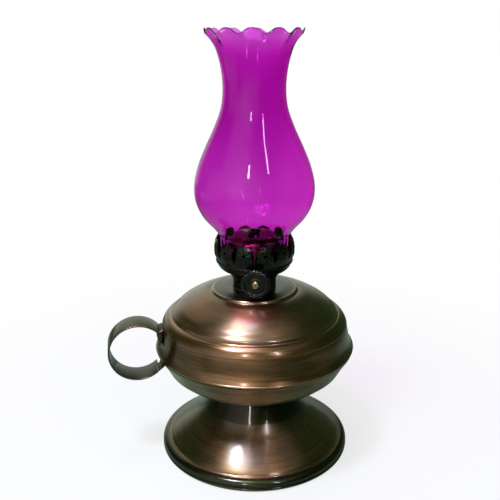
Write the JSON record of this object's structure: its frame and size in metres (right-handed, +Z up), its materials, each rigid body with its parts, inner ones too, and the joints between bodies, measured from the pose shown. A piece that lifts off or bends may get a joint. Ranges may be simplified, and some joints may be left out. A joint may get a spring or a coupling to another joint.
{
  "type": "oil lamp",
  "caption": "Hand-held oil lamp: round copper font on a flared foot, finger ring, screw-in flat-wick burner with knob, and a tinted glass chimney with a scalloped mouth.",
  "frame": {"origin": "on the lamp's axis, at the centre of the felt face the lamp stands on", "axes": "+Z up along the lamp's axis to the mouth of the chimney, -Y to the front, where the wick knob is, -X to the finger ring"},
  "size_m": [0.1655, 0.134, 0.2801],
  "materials": {
    "copper": "satin brushed antique copper plate",
    "blackened": "semi-gloss blackened steel",
    "brass": "satin brass",
    "steel": "satin steel",
    "solder": "dull tin solder",
    "glass": "clear magenta glass",
    "cotton": "woven flat cotton tape",
    "cork": "pressed cork",
    "felt": "short-pile felt"
  },
  "bodies": {
    "lamp_body": {"felt_pad": "felt", "base_plate": "steel", "foot": "copper", "neck_solder": "solder", "font_lower": "copper", "font_upper": "copper", "font_collar": "brass", "handle_ring": "copper", "handle_tab": "copper", "handle_solder_upper": "solder", "handle_solder_lower": "solder"},
    "seal": {"seal_washer": "cork"},
    "burner": {"burner_base": "brass", "burner_body": "blackened", "gallery": "blackened", "air_plate": "blackened", "flame_cone": "blackened", "wick_tube": "brass", "vent_tube": "brass", "wheel_cage": "brass", "spindle_bush": "blackened"},
    "wick_knob": {"spindle": "steel", "spur_wheel_1": "brass", "spur_wheel_2": "brass", "knob": "blackened", "knob_rivet": "brass"},
    "wick": {"wick": "cotton"},
    "chimney": {"chimney": "glass"}
  },
  "joints": [
    {"name": "burner_rise", "type": "slide", "parent": "lamp_body", "child": "seal", "axis": [0, 0, 1], "range_m": [0, 0.00801]},
    {"name": "burner_unscrew", "type": "hinge", "parent": "seal", "child": "burner", "pos_m": [0, 0, 0.1153], "axis": [0, 0, 1], "range_deg": [0, 1440]},
    {"name": "knob_turn", "type": "hinge", "parent": "burner", "child": "wick_knob", "pos_m": [0.00533, -0.00085, 0.1273], "axis": [0.1564, 0.9877, 0], "range_deg": [-40, 120]},
    {"name": "wick_feed", "type": "slide", "parent": "burner", "child": "wick", "axis": [0, 0, 1], "range_m": [-0.003, 0.009]},
    {"name": "chimney_lift", "type": "slide", "parent": "burner", "child": "chimney", "axis": [0, 0, 1], "range_m": [0, 0.06]}
  ],
  "couplings": [
    {"joint": "burner_rise", "follows": "burner_unscrew", "m_per_rad": 0.00031831},
    {"joint": "wick_feed", "follows": "knob_turn", "m_per_rad": 0.0042}
  ]
}
